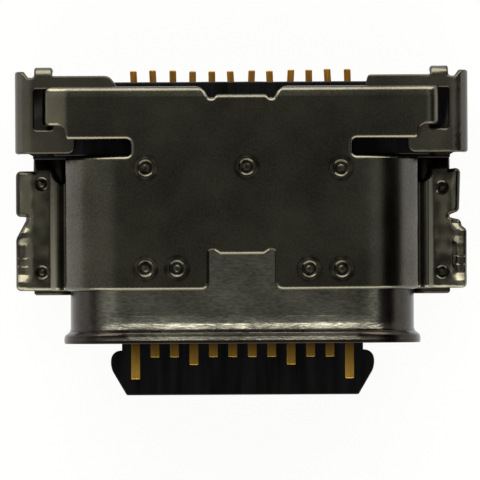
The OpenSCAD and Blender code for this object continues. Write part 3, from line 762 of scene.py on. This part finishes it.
def highlighted_rim(u, v):
    """Whether a place on the cover's edge gets a painted highlight: its front, its slots and its rear."""
    front = v < COVER_Y + HIGHLIGHT_DEPTH and (u < HIGHLIGHT_FRONT_U or u > WING_U)
    notch = v < NOTCH_Y + HIGHLIGHT_DEPTH and u < HIGHLIGHT_NOTCH_U
    slot = HIGHLIGHT_SLOT_U[0] < u < HIGHLIGHT_SLOT_U[1] and HIGHLIGHT_SLOT_V[0] < v < HIGHLIGHT_SLOT_V[1]
    rear = v > HIGHLIGHT_REAR_V and u < HIGHLIGHT_REAR_U
    return front or notch or slot or rear


def strap_highlight_share(side, u):
    """How strongly the strap's bent ends carry a painted highlight."""
    past = u - (LEFT_BEND_X if side < 0 else STRAP_X - STRAP_BEND_R)
    return STRAP_HIGHLIGHT[side] * ramp(past, *STRAP_FADE_IN) * ramp(past, *STRAP_FADE_OUT)


def top_cover():
    """The folded cover: crown, wings with solder tabs, and the strap with its bent ends and rear edge."""
    rounds = [(x, y, WELD_R * WELD_HEAT) for x, y in CROWN_WELDS]
    rounds += [(math.copysign(on_wing(abs(x)), x), y, WING_WELD_R * WING_WELD_HEAT) for x, y in WING_WELDS]
    bm = sheet(joined(cover_half(1), cover_half(-1)), rounds=rounds, upper_round=ROLL_OVER, lower_round=BURR,
               highlight_at=highlighted_rim)
    wear_and_highlight = bm.verts.layers.float["wear_and_highlight"]
    oxide_and_shade = bm.verts.layers.float["oxide_and_shade"]
    tab_u = on_wing(WING_X)
    on_wings = spaced(WING_U, on_wing(TAB_X), WING_CUTS)
    for side in SIDES:
        score(bm, [side * u for u in sorted(stations(CROWN) + stations(STRAPS[side]))], X_AXIS)
        score(bm, [side * u for u in on_wings], X_AXIS, lambda c: abs(c.x) > WING_U)
    score(bm, stations(REAR), Y_AXIS)
    score(bm, stations(MIDDLE), Y_AXIS, lambda c: abs(c.x) < REAR_TAB_X)
    on_tabs = spaced(COVER_Y, NOTCH_TAB_Y, WING_ROWS)
    on_tabs += [line + step * SCRIBE_HALF for line in SCRIBES for step in (-1, 0, 1)]
    on_tabs += [y for slope in DISH_SLOPES for y in slope[:2]]
    score(bm, on_tabs, Y_AXIS, lambda c: abs(c.x) > tab_u - CLOSE)
    score(bm, spaced(COVER_Y, SLOT_Y, WING_ROWS) + [CURL_Y], Y_AXIS, lambda c: abs(c.x) > WING_U)
    for vert in bm.verts:
        v = vert.co.y
        u = abs(vert.co.x)
        side = 1 if vert.co.x > 0 else -1
        on_strap = v > SLOT_Y + SLOT_W / 2
        if on_strap:
            # Painted highlight on the strap's bend
            vert[wear_and_highlight] = max(vert[wear_and_highlight], strap_highlight_share(side, u))
            vert.co = bent(vert, STRAPS[side], REAR if u > REAR_TAB_X else MIDDLE) + Z_AXIS * CROWN_R
            continue
        vert.co = bent(vert, CROWN) + Z_AXIS * CROWN_R
        hidden = ramp(v, *HIDDEN_Y)
        # Wear and painted highlight on the step, the wing and the tabs, kept off rims with painted shade and
        # out of the strap's painted shadow
        if not vert[oxide_and_shade]:
            vert[wear_and_highlight] = max(vert[wear_and_highlight], wing_wear_and_highlight(side, u, v) * (1 - hidden))
        # Painted shadow of the strap on the wing's rear end
        if u > HIDDEN_U:
            vert[oxide_and_shade] = max(vert[oxide_and_shade], STRAP_SHADOW * hidden)
        if u > WING_U:
            vert.co.z += wing_wave(vert.co.x, v)
            vert.co.z -= tab_drop(side, abs(vert.co.x), v) + curl(v)
    flatten(bm)
    piece("folded_top_cover", bm, cover_steel, "cover_steel", "top_cover")


def bottom_cover():
    """The lower cover, bent as the upper one and turned over."""
    fall = math.cos(LOWER_TURN)
    lower_bend_r = (CROWN_R * fall + BOARD_Z) / (1 - fall)
    lower = path((END_X, 0), (CROWN_R, LOWER_TURN), (lower_bend_r, -LOWER_TURN), (1, 0))
    wing_u, wing_x = lower[-1].at, lower[-1].along
    edge_u = wing_u + WING_X - wing_x
    front, rear = LOWER_LOW.y, LOWER_HIGH.y
    bm = sheet(both_sides([(0, front), (edge_u, front, 0.08), (edge_u, rear, 0.08), (0, rear)]),
               highlight_at=highlighted_rim)
    for side in SIDES:
        score(bm, [side * u for u in stations(lower) + spaced(wing_u, edge_u, LOWER_CUTS)], X_AXIS)
    score(bm, spaced(front, SLOT_Y, WING_ROWS) + [CURL_Y], Y_AXIS, lambda c: abs(c.x) > wing_u)
    for vert in bm.verts:
        vert.co = bent(vert, lower) + Z_AXIS * CROWN_R
        vert.co.z += curl(vert.co.y) * ramp(abs(vert.co.x), wing_x, wing_x + CURL_Z)
    bmesh.ops.rotate(bm, cent=(0, 0, 0), matrix=Matrix.Rotation(math.pi, 3, "Y"), verts=bm.verts[:])
    oxide_and_shade = bm.verts.layers.float["oxide_and_shade"]
    for vert in bm.verts:
        vert.co.z += wing_wave(vert.co.x, vert.co.y)
        # Painted shadow of the strap on the lower wing's rear end
        if abs(vert.co.x) > wing_x - LOWER_HIDDEN_REACH:
            vert[oxide_and_shade] = max(vert[oxide_and_shade], STRAP_SHADOW * ramp(vert.co.y, *LOWER_HIDDEN_Y))
    flatten(bm)
    piece("bent_bottom_cover", bm, cover_steel, "cover_steel", "bottom_cover")


# The craters that the weld tips leave: share of the rim's radius, height, and how far the heat tinted it
WELD_SECTION = [(1.34, 0, 0.4), (1.2, 0.001, 0.5), (1.1, 0.006, 0.4), (1.0, 0.012, 0.3), (0.92, 0.012, 0.2),
                (0.84, 0.004, 0.2), (0.76, -0.011, 0.5), (0.64, -0.022, 0.8), (0.46, -0.022, 0.8),
                (0.32, -0.008, 0.4), (0.18, 0.004, 0.1), (0, 0.008, 0.1)]


def spot_welds():
    """The weld craters: a raised rim, a moat and a nub, spun for each place."""
    bm = bmesh.new()
    oxide_and_shade = bm.verts.layers.float.new("oxide_and_shade")
    for places, radius, skirt, height in ((CROWN_WELDS, WELD_R, WELD_HEAT, CROWN_R),
                                          (WING_WELDS, WING_WELD_R, WING_WELD_HEAT, WING_Z)):
        section = [(skirt, 0, 0)] + [point for point in WELD_SECTION if point[0] < skirt]
        for x, y in places:
            verts = []
            for share, rise, tint in section:
                verts.append(bm.verts.new((x + share * radius, y, height + rise)))
                verts[-1][oxide_and_shade] = tint
            edges = [bm.edges.new(pair) for pair in zip(verts, verts[1:])]
            bmesh.ops.spin(bm, geom=verts + edges, cent=(x, y, 0), axis=Z_AXIS, angle=2 * math.pi,
                           steps=WELD_STEPS, use_merge=True)
    bmesh.ops.remove_doubles(bm, verts=bm.verts[:], dist=MERGE)
    for vert in bm.verts:
        patch = noise.noise(vert.co / WELD_GRAIN)
        vert.co.z += wing_wave(vert.co.x, vert.co.y) + WELD_ROUGH * vert[oxide_and_shade] * patch
        vert[oxide_and_shade] = ramp(vert[oxide_and_shade] + WELD_PATCH * patch, 0, 1) if vert[oxide_and_shade] else 0
    bmesh.ops.recalc_face_normals(bm, faces=bm.faces[:])
    if sum(face.normal.z for face in bm.faces) < 0:
        bmesh.ops.reverse_faces(bm, faces=bm.faces[:])
    piece("spot_welds", bm, cover_steel, "cover_steel", "top_cover")


# Rear bracket, bent from a flat blank

SIDE_X = BRACKET_HIGH.x
SIDE_BEND_R = 0.5
SIDE_X0 = SIDE_X - SIDE_BEND_R
SIDE_END_Y = BRACKET_HIGH.y - 0.105
PLATE_X = 4.26
PLATE_Y = (5.31, 6.32)
PLATE_END_Y = BRACKET_HIGH.y - 0.21
PLATE_TAIL_X = 3.17
BRACKET_Z = BRACKET_HIGH.z
WINDOW_X = 4.84
WINDOW_Y = (5.5, 6.54)
WINDOW_ROUND = 0.06
LEG_BEND_R = 0.25
LEG_SHOULDER_Y = PLATE_END_Y - 0.05
STAKE_HALF = 0.35
# How far painted shade darkens the legs and the side walls, which turn down, and where on the side's bend
# that starts
LEG_SHADE = 0.25
WALL_SHADE = 0.4
WALL_SHADE_U = (SIDE_X0 + 0.3, SIDE_X0 + 0.45)
# Scuffs on the right: their depth and size, how closely the plate is cut for them, and where they fade
SCUFF = 0.01
SCUFF_GRAIN = 0.11
SCUFF_STEP = 0.06
SCUFF_FROM_U = 4.2
SCUFF_CUTS_U = (4.3, SIDE_X - 0.1)
SCUFF_INNER_U = (4.35, 4.5)
SCUFF_OUTER_U = (SIDE_X - 0.12, SIDE_X - 0.25)
SCUFF_FRONT_V = (5.6, 5.4)
SCUFF_REAR_V = (6.3, 6.5)


def scuff(u, v):
    """How far the bracket's plate is scuffed at a place: on the right, before and behind the window."""
    scuffed = ramp(u, *SCUFF_INNER_U) * ramp(u, *SCUFF_OUTER_U)
    scuffed *= max(ramp(v, *SCUFF_FRONT_V), ramp(v, *SCUFF_REAR_V))
    return SCUFF * scuffed * noise.noise(Vector((u, v, 0)) / SCUFF_GRAIN)


def rear_bracket():
    """The plate under the strap, with windows, side walls, stakes and rear legs. The plate's ends differ."""
    across = path((SIDE_X0, 0), (SIDE_BEND_R, QUARTER), (BRACKET_Z - SIDE_BEND_R - BRACKET_LOW.z, 0))
    leg = path((BRACKET_HIGH.y - LEG_BEND_R, 0), (LEG_BEND_R, QUARTER), (BRACKET_Z - LEG_BEND_R - BOARD_Z, 0))
    wall_u = across[-1].at + BRACKET_Z - SIDE_BEND_R - BOARD_Z
    stake_u = run_end(across)
    leg_v = run_end(leg)
    front = BRACKET_LOW.y
    stake_y = (front + SIDE_END_Y) / 2
    tip = STAKE_HALF / 2
    rest = [
        (0, PLATE_Y[0]), (PLATE_X, PLATE_Y[0]), (PLATE_X, front, 0.2), (wall_u, front, 0.1),
        (wall_u, stake_y - STAKE_HALF), (stake_u - tip, stake_y - STAKE_HALF), (stake_u, stake_y - tip),
        (stake_u, stake_y + tip), (stake_u - tip, stake_y + STAKE_HALF), (wall_u, stake_y + STAKE_HALF),
        (wall_u, SIDE_END_Y, 0.1), (5.68, SIDE_END_Y, 0.08), (5.5, LEG_SHOULDER_Y, 0.08),
        (SIDE_X0, LEG_SHOULDER_Y, 0.08), (SIDE_X0, leg_v, 0.08), (WINDOW_X, leg_v, 0.08),
        (WINDOW_X, PLATE_END_Y, 0.04)]
    last = [(PLATE_TAIL_X, STRAP_END_Y, 0.08), (PLATE_TAIL_X, PLATE_Y[1]), (0, PLATE_Y[1])]
    right = rest + [(3.26, PLATE_END_Y, 0.09)] + last
    left = rest + [(3.4, PLATE_END_Y, 0.25)] + last
    y0, y1 = WINDOW_Y
    window = [(WINDOW_X, y0), (SIDE_X0, y0), (SIDE_X0, y1), (WINDOW_X, y1)]
    holes = [[(side * x, y, WINDOW_ROUND) for x, y in window] for side in (1, -1)]
    bm = sheet(joined(right, left), holes=holes)
    for side in SIDES:
        score(bm, [side * u for u in stations(across)], X_AXIS)
    score(bm, stations(leg), Y_AXIS)
    for axis, start, end in ((X_AXIS, *SCUFF_CUTS_U), (Y_AXIS, front, PLATE_END_Y)):
        cuts = spaced(start, end, round((end - start) / SCUFF_STEP))
        score(bm, cuts, axis, lambda c: SCUFF_FROM_U < c.x < SIDE_X)
    oxide_and_shade = bm.verts.layers.float["oxide_and_shade"]
    for vert in bm.verts:
        u, v = vert.co.xy
        on_leg = v > leg[1].at and abs(u) < SIDE_X0 + CLOSE
        # Painted shade on the rims, the side walls and the legs
        vert[oxide_and_shade] = max(vert[oxide_and_shade], WALL_SHADE * ramp(abs(u), *WALL_SHADE_U), LEG_SHADE * on_leg)
        vert.co.z += scuff(u, v)
        vert.co = bent(vert, across, leg if on_leg else None) + Z_AXIS * BRACKET_Z
    flatten(bm)
    piece("rear_bracket_sheet", bm, bracket_steel, "bracket_steel", "rear_bracket")


# Black moulding

TONGUE_Z = 0.35
ROOT_X = 3.36
ROOT_Y = 3.37
ROOT_Z = 0.5
ROOT_LEN = 1
TONGUE_END_Y = ROOT_Y - 0.07
PLUG_R = 1.25
PLUG_END_Y = 4.85
PLUG_LEN = PLUG_END_Y - ROOT_Y + 0.1
PLUG_EDGE = 0.03
BLOCK_X = 4.81
BLOCK_Z = 1.2
BLOCK_Y = 4.83
SHOULDER_Z = 0.45
RECESS_X = 2.99
RECESS_Y = (5.3, 5.95)
RECESS_Z = 0.27
EDGE_WAVE = 0.015
EDGE_GRAIN = 0.5
EDGE_CUTS = 40
LUG_X = 4.1
LUG = 0.09
CORNER_SET = 0.14
MOULD_EDGE = 0.04


def moulded(name, bm, edge_round=MOULD_EDGE):
    """Finishes a moulded part: rounded edges and the black polymer."""
    soften(bm, edge_round)
    piece(name, bm, moulding, "black_moulding", "insulator")


def lying(end_y):
    """Turns a shape that was drawn up along Z so that it lies along Y and ends at end_y."""
    return Matrix.Translation((0, end_y, 0)) @ Matrix.Rotation(QUARTER, 4, "X")


def tongue():
    """The contact tongue: a round head, latch notches and a wide root."""
    tip = MOULD_LOW.y
    half = [(0, tip), (2.98, tip, 0.05), (3.4, tip + 0.72, 0.5), (3.36, tip + 1.15, 0.24),
            (3.1, tip + 1.15, 0.02), (3.1, 1.17), (ROOT_X, 1.43), (ROOT_X, TONGUE_END_Y), (0, TONGUE_END_Y)]
    bm = bmesh.new()
    trace(bm, both_sides(half))
    raise_outline(bm, 2 * TONGUE_Z, Matrix.Translation((0, 0, -TONGUE_Z)))
    moulded("contact_tongue", bm)


def tongue_root():
    """The thick root of the tongue and the plug that closes the shell behind the mouth."""
    bm = bmesh.new()
    trace(bm, both_sides([(0, -ROOT_Z), (ROOT_X, -ROOT_Z), (ROOT_X, ROOT_Z), (0, ROOT_Z)]))
    raise_outline(bm, ROOT_LEN, lying(ROOT_Y))
    moulded("tongue_root", bm)
    bm = bmesh.new()
    plug_x = END_X + PLUG_R
    end_r = PLUG_R - CLOSE
    trace(bm, both_sides([(0, -PLUG_R), (plug_x, -PLUG_R, end_r), (plug_x, PLUG_R, end_r), (0, PLUG_R)]))
    raise_outline(bm, PLUG_LEN, lying(PLUG_END_Y))
    moulded("shell_plug", bm, PLUG_EDGE)


def rear_block():
    """The block behind the shell, with lugs that hold the wings' ends and a recess for the lower tails."""
    bm = bmesh.new()
    trace(bm, both_sides([(0, BOARD_Z), (MOULD_HIGH.x, BOARD_Z), (MOULD_HIGH.x, SHOULDER_Z),
                          (BLOCK_X, SHOULDER_Z), (BLOCK_X, BLOCK_Z), (0, BLOCK_Z)]))
    raise_outline(bm, MOULD_HIGH.y - BLOCK_Y, lying(MOULD_HIGH.y))

    def below(middle):
        """Whether a face's middle lies on the underside."""
        return middle.z < BOARD_Z + CLOSE

    score(bm, RECESS_Y, Y_AXIS, below)
    score(bm, (-RECESS_X, RECESS_X), X_AXIS, below)
    under = faces_at(bm, lambda c: below(c) and RECESS_Y[0] < c.y < RECESS_Y[1] and abs(c.x) < RECESS_X)
    sunk = bmesh.ops.extrude_face_region(bm, geom=under)
    bmesh.ops.translate(bm, vec=Z_AXIS * RECESS_Z, verts=verts_of(sunk["geom"]))
    score(bm, [side * x for side in SIDES for x in (LUG_X, WING_X)], X_AXIS)
    score(bm, [SHOULDER_Z], Z_AXIS)
    behind_wings = faces_at(bm, lambda c: c.z < SHOULDER_Z and LUG_X < abs(c.x) < WING_X)
    lugs = [face for face in behind_wings if face.normal.y < -0.9]
    grown = bmesh.ops.extrude_face_region(bm, geom=lugs)
    bmesh.ops.translate(bm, vec=Y_AXIS * -LUG, verts=verts_of(grown["geom"]))
    for vert in bm.verts:
        if vert.co.y < BLOCK_Y + CLOSE and abs(vert.co.x) > WING_X + CLOSE:
            vert.co.y += CORNER_SET
    score(bm, spaced(-BLOCK_X, BLOCK_X, EDGE_CUTS), X_AXIS, lambda c: c.y > RECESS_Y[1])
    for vert in bm.verts:
        if vert.co.y > MOULD_HIGH.y - CLOSE:
            vert.co.y -= EDGE_WAVE * (0.5 + 0.5 * noise.noise(vert.co / EDGE_GRAIN))
    moulded("rear_block", bm)


# Contacts

PITCH = 0.5
PINS = 12
CONTACT_W = 0.24
TAIL_W = 0.175
CONTACT_T = 0.15
PROUD = 0.008
UPPER_DROP_Y = 6.05
UPPER_END_Y = 7.02
LOWER_DROP_Y = 4.95
LOWER_END_Y = 5.85
TIP_SETS = {0: 0.41, 3: 0.77}
PLAIN_TIP_SET = 0.97
DROP_BEND_R = 0.25
DROP_BEND_SHARE = 0.45
FOOT_BEND_R = 0.1
NECK_LEN = 0.05
CONTACT_ROUND = 0.03
CONTACT_EDGE = 0.025


def contact(i, top_z, drop_y, end_y, lean):
    """One stamped contact: a strip on the tongue, a drop to the board and a tail that leans sideways."""
    run_y = MOULD_LOW.y + TIP_SETS.get(min(i, PINS - 1 - i), PLAIN_TIP_SET)
    x = (i - (PINS - 1) / 2) * PITCH
    drop = top_z - BOARD_Z - CONTACT_T
    bend_r = min(DROP_BEND_R, DROP_BEND_SHARE * drop + CONTACT_T)
    foot_r = max(FOOT_BEND_R, bend_r - CONTACT_T)
    neck = drop_y - run_y
    side = path((neck, 0), (bend_r, QUARTER), (drop - bend_r - foot_r, 0), (foot_r, -QUARTER), (1, 0))
    tail_u = side[-1].at
    end_u = tail_u + end_y - run_y - side[-1].along
    wide, narrow = CONTACT_W / 2, TAIL_W / 2
    outline = both_sides([(0, 0), (wide, 0, CONTACT_ROUND), (wide, neck - NECK_LEN), (narrow, neck),
                          (narrow, end_u, CONTACT_ROUND), (0, end_u)])
    bm = sheet(outline, wall=CONTACT_T, upper_round=CONTACT_EDGE)
    score(bm, stations(side), Y_AXIS)
    for vert in bm.verts:
        sway = lean * max(0, vert.co.y - tail_u) / (end_u - tail_u)
        vert.co = bent(vert, along=side) + Vector((x + sway, run_y, top_z))
    flatten(bm)
    return bm


def contacts():
    """Both rows of contacts, with upper tails that handling has bent a little."""
    draw = random.Random(7)
    for i in range(PINS):
        number = f"{i + 1:02d}"
        end_y = UPPER_END_Y + draw.uniform(-0.02, 0.03)
        bm = contact(i, TONGUE_Z + PROUD, UPPER_DROP_Y, end_y, draw.uniform(-0.04, 0.04))
        piece(f"upper_contact_strip_{number}", bm, contact_gold, "gold_plating", f"upper_contact_{number}")
        bm = contact(i, CONTACT_T - TONGUE_Z - PROUD, LOWER_DROP_Y, LOWER_END_Y, 0)
        piece(f"lower_contact_strip_{number}", bm, contact_gold, "gold_plating", f"lower_contact_{number}")


drawn_shell()
top_cover()
bottom_cover()
spot_welds()
rear_bracket()
tongue()
tongue_root()
rear_block()
contacts()

for name in ("mid_plate", "upper_ground_plate", "lower_ground_plate"):
    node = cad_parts[name]
    node.data.materials.clear()
    node.data.materials.append(plate_steel)

# Floor, light and camera

VIEW_X = -0.05
VIEW_Y = 2.65
VIEW_WIDE = 12.3
VIEW_FAR = 400
ROLL = 0.3
SENSOR = 36
FLOOR_HALF = 0.6
FLOOR_GLOW = 0.93
# The lamps, in metres: the side that each is on with its power, and what both share
LAMPS = {"front_lamp": (-1, 1.9), "rear_lamp": (1, 3)}
LAMP_Y = 0.3
LAMP_Z = 0.13
LAMP_AIM = (0, 0, 0.02)
LAMP_SIZE = (0.7, 0.26)
LAMP_COLOUR = "#fffaea"


def white_floor():
    """A white sheet of paper under the port, which shows only the port's shadow."""
    bm = bmesh.new()
    bmesh.ops.create_grid(bm, x_segments=1, y_segments=1, size=FLOOR_HALF)
    mesh = bpy.data.meshes.new("floor")
    bm.to_mesh(mesh)
    bm.free()
    floor = bpy.data.objects.new("floor", mesh)
    bpy.context.scene.collection.objects.link(floor)
    material, tree, shader, _ = new_finish("white_paper")
    shader.inputs["Base Color"].default_value = linear("#fdfdfd")
    shader.inputs["Roughness"].default_value = 0.9
    rays = add(tree, "ShaderNodeLightPath").outputs
    seen = reckoned(tree, "MAXIMUM", rays["Is Camera Ray"], rays["Is Glossy Ray"])
    seen = reckoned(tree, "MAXIMUM", seen, rays["Is Transmission Ray"])
    share = reckoned(tree, "MULTIPLY", seen, FLOOR_GLOW)
    glow = add(tree, "ShaderNodeEmission", {"Color": (1, 1, 1, 1), "Strength": 1})
    mix = add(tree, "ShaderNodeMixShader", {0: share, 1: shader.outputs[0], 2: glow.outputs[0]})
    tree.links.new(mix.outputs[0], tree.nodes["Material Output"].inputs["Surface"])
    mesh.materials.append(material)


def lamp(name, side, power):
    """A soft, long studio lamp before or behind the port."""
    data = bpy.data.lights.new(name, "AREA")
    data.shape = "RECTANGLE"
    data.size, data.size_y = LAMP_SIZE
    data.energy = power
    data.color = linear(LAMP_COLOUR)[:3]
    obj = bpy.data.objects.new(name, data)
    obj.location = (0, side * LAMP_Y, LAMP_Z)
    obj.rotation_euler = (Vector(LAMP_AIM) - obj.location).to_track_quat("-Z", "Y").to_euler()
    obj.visible_camera = False
    bpy.context.scene.collection.objects.link(obj)


def studio():
    """A dim ceiling, a pale wall on the left, a dark one on the right, and low lamps before and behind."""
    world = bpy.data.worlds.new("studio")
    bpy.context.scene.world = world
    world.use_nodes = True
    tree = world.node_tree
    way = add(tree, "ShaderNodeTexCoord")
    toward = add(tree, "ShaderNodeSeparateXYZ", {"Vector": way.outputs["Generated"]}).outputs

    def soft(axis, start, end):
        """A soft change from 0 to 1 between two directions."""
        return mapped(tree, toward[axis], start, end, interpolation_type="SMOOTHSTEP")

    room = mixed(tree, soft("X", -0.7, 0.55), "#b4b2a8", "#0e0d10")
    room = mixed(tree, soft("Z", 0.64, 0.76), room, "#b0b0a8")
    # The camera's own dark shape overhead
    room = mixed(tree, soft("Z", 0.84, 0.95), room, "#707069")
    back = tree.nodes["Background"]
    tree.links.new(room, back.inputs["Color"])
    # The camera sees white all round, and metal and glass see it at the horizon, where the paper ends
    rays = add(tree, "ShaderNodeLightPath").outputs
    shiny = reckoned(tree, "MAXIMUM", rays["Is Glossy Ray"], rays["Is Transmission Ray"])
    shiny = reckoned(tree, "MULTIPLY", shiny, soft("Z", 0.22, 0.04))
    seen = reckoned(tree, "MAXIMUM", rays["Is Camera Ray"], shiny)
    clear = add(tree, "ShaderNodeBackground", {"Color": (1, 1, 1, 1), "Strength": 1})
    mix = add(tree, "ShaderNodeMixShader", {0: seen, 1: back.outputs[0], 2: clear.outputs[0]})
    tree.links.new(mix.outputs[0], tree.nodes["World Output"].inputs["Surface"])
    for name, (side, power) in LAMPS.items():
        lamp(name, side, power)


def overhead_camera():
    """A long lens straight above the port, turned as the photographer held it."""
    data = bpy.data.cameras.new("overhead")
    data.sensor_width = SENSOR
    data.lens = SENSOR * VIEW_FAR / VIEW_WIDE
    data.clip_start, data.clip_end = 0.001, 10
    camera = bpy.data.objects.new("overhead", data)
    middle = TO_FRAME @ Vector((VIEW_X, VIEW_Y, CROWN_R))
    camera.location = middle + Z_AXIS * VIEW_FAR * MM
    camera.rotation_euler = (0, 0, math.radians(-ROLL))
    bpy.context.scene.collection.objects.link(camera)
    bpy.context.scene.camera = camera


white_floor()
studio()
overhead_camera()
bpy.context.scene.view_settings.view_transform = "Standard"
